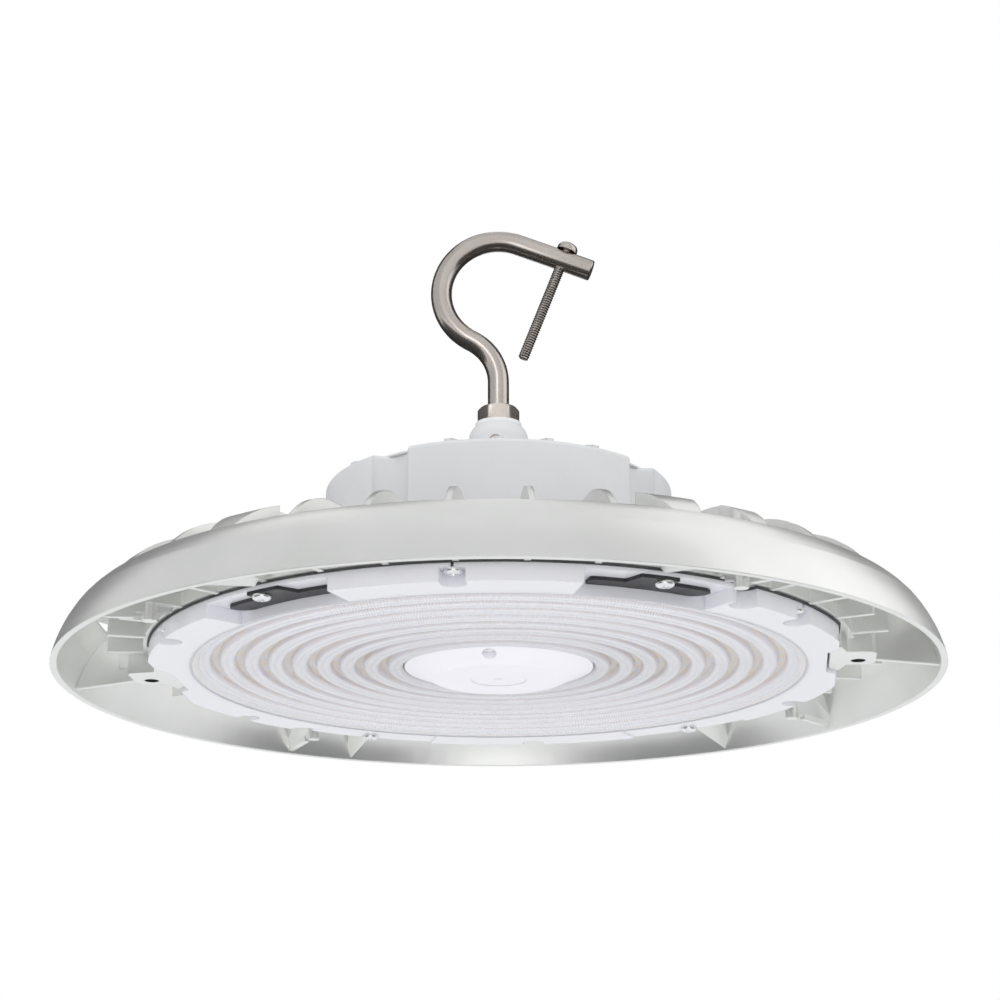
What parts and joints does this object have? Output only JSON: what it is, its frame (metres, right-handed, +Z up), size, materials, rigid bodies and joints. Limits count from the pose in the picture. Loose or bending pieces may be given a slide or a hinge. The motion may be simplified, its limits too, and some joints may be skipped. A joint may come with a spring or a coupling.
{
  "type": "high bay light",
  "caption": "Round high bay light: finned cast heat sink with a bell-shaped skirt, ridged ring lens, round driver housing with a ribbed roof, and a bent rod hook.",
  "frame": {"origin": "centre of the plane of the skirt's open rim, on which the light stands when it is set down", "axes": "+Z up along the light's axis, from the lens to the hook; X through the two drilled lugs under the plate; the hook lies close to the XZ plane, turned 6.6 degrees about Z"},
  "size_m": [0.4, 0.4, 0.2217],
  "materials": {
    "bell_coat": "satin silver-grey coat on cast aluminium",
    "housing_coat": "fine textured light grey powder coat",
    "lens_plastic": "milky moulded plastic",
    "cover_plastic": "satin white moulded plastic",
    "hook_steel": "bright drawn rod",
    "nut_steel": "bright plated",
    "screw_steel": "bright stainless",
    "clip_steel": "black coated spring steel",
    "seal_rubber": "matt black silicone",
    "gland_plastic": "black nylon",
    "driver_case": "plain sheet case filled with potting",
    "terminal_plastic": "natural moulded plastic",
    "pad_rubber": "soft grey thermal sheet",
    "board_white": "white solder resist on an aluminium core",
    "package_phosphor": "yellow phosphor in a white frame",
    "lead_insulation": "smooth insulated wire"
  },
  "bodies": {
    "root": {"heat_sink": "bell_coat", "driver_housing": "housing_coat", "housing_gasket": "seal_rubber", "housing_screws": "screw_steel", "driver_module": "driver_case", "driver_screws": "screw_steel", "terminal_block": "terminal_plastic", "driver_leads": "lead_insulation", "gland_body": "gland_plastic", "gland_lock_nut": "gland_plastic", "gland_seal": "seal_rubber", "gland_cap": "gland_plastic", "breather_vent": "gland_plastic", "hook": "hook_steel", "hook_washer": "nut_steel", "hook_nut": "nut_steel", "safety_screw": "screw_steel", "hub_set_screw": "clip_steel", "thermal_pad": "pad_rubber", "led_board": "board_white", "led_packages": "package_phosphor", "board_screws": "screw_steel", "board_connector": "terminal_plastic", "lens": "lens_plastic", "lens_gasket": "seal_rubber", "lens_screws": "screw_steel", "lens_clip_left": "clip_steel", "lens_clip_right": "clip_steel", "centre_cover": "cover_plastic", "cover_gasket": "seal_rubber", "cover_screws": "screw_steel"}
  },
  "joints": []
}
